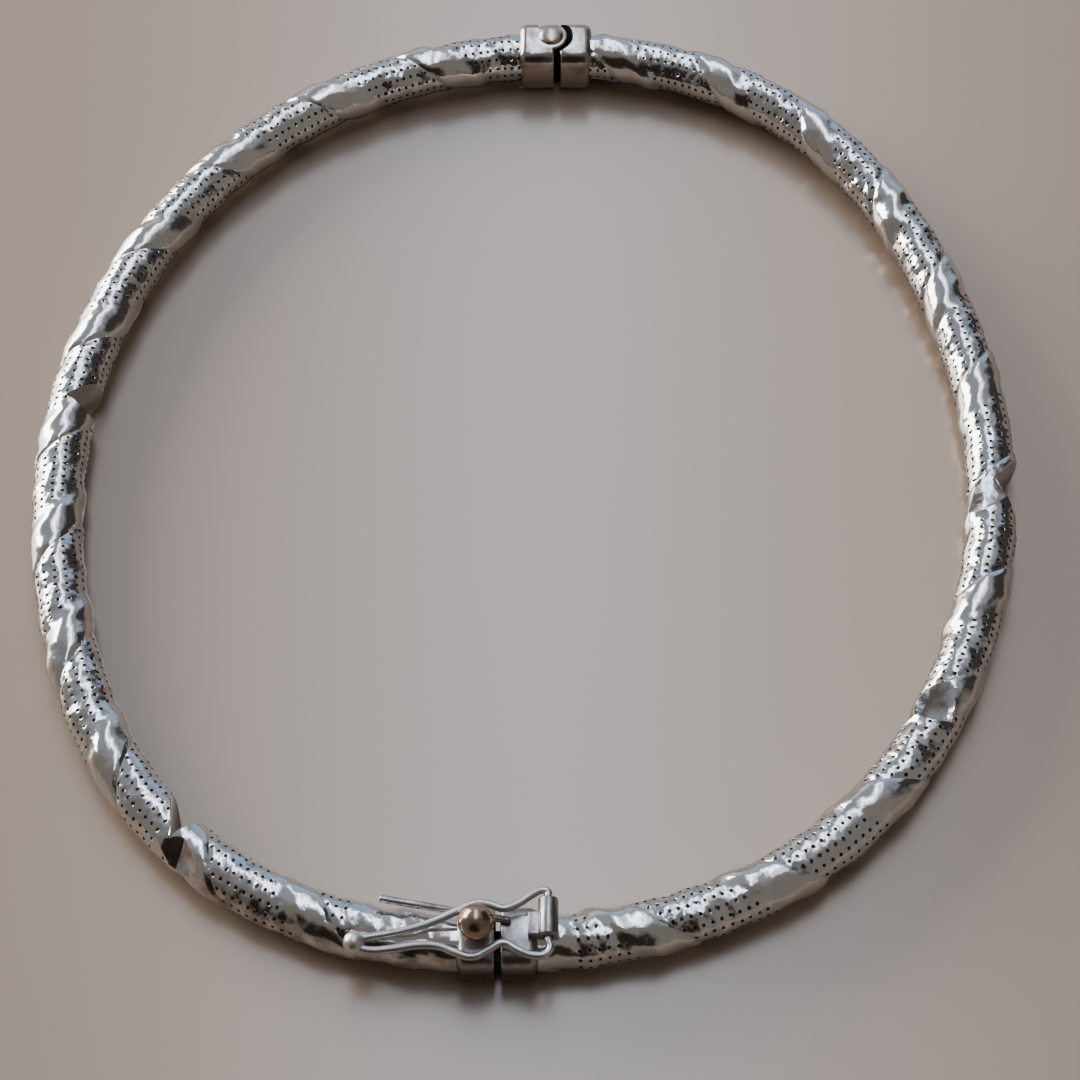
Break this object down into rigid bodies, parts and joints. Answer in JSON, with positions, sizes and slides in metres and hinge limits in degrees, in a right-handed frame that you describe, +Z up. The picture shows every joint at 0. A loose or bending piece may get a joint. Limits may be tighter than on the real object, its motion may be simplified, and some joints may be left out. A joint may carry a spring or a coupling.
{
  "type": "hinged bangle",
  "caption": "Slim oval hinged bangle of hollow silver tube with a raised spiral band, dotted panels, plain collars, a push-ball box clasp and a wire safety catch.",
  "frame": {"origin": "middle of the ring's bounding box, on the surface that the bangle lies on", "axes": "+Z up, out of the plane of the ring; +Y from the clasp towards the hinge; +X to the right as seen from the clasp side"},
  "size_m": [0.0599, 0.0676, 0.0058],
  "materials": {
    "tube": "polished silver tube with chased dots, tarnish in the dots and creases",
    "collar": "worn silver, softly polished, fine scratches",
    "ball": "polished, with a warm, slightly gilt tone",
    "wire": "drawn silver wire, polished by wear"
  },
  "bodies": {
    "catch_half": {"tube_right": "tube", "hinge_cap_right": "collar", "tongue_cap": "collar"},
    "box_half": {"tube_left": "tube", "hinge_cap_left": "collar", "box_cap": "collar", "hinge_pin": "ball"},
    "button": {"push_ball": "ball"},
    "safety": {"safety_catch": "wire"}
  },
  "joints": [
    {"name": "bangle_hinge", "type": "hinge", "parent": "catch_half", "child": "box_half", "pos_m": [0.00173, 0.03236, 0.00176], "axis": [0, 0, -1], "range_deg": [0, 45]},
    {"name": "ball_press", "type": "slide", "parent": "box_half", "child": "button", "axis": [0, 0, -1], "range_m": [0, 0.0003], "stiffness_N_per_m": 400},
    {"name": "catch_swing", "type": "hinge", "parent": "catch_half", "child": "safety", "pos_m": [0.00142, -0.03209, 0.0041], "axis": [0, 1, 0], "range_deg": [0, 150]}
  ]
}
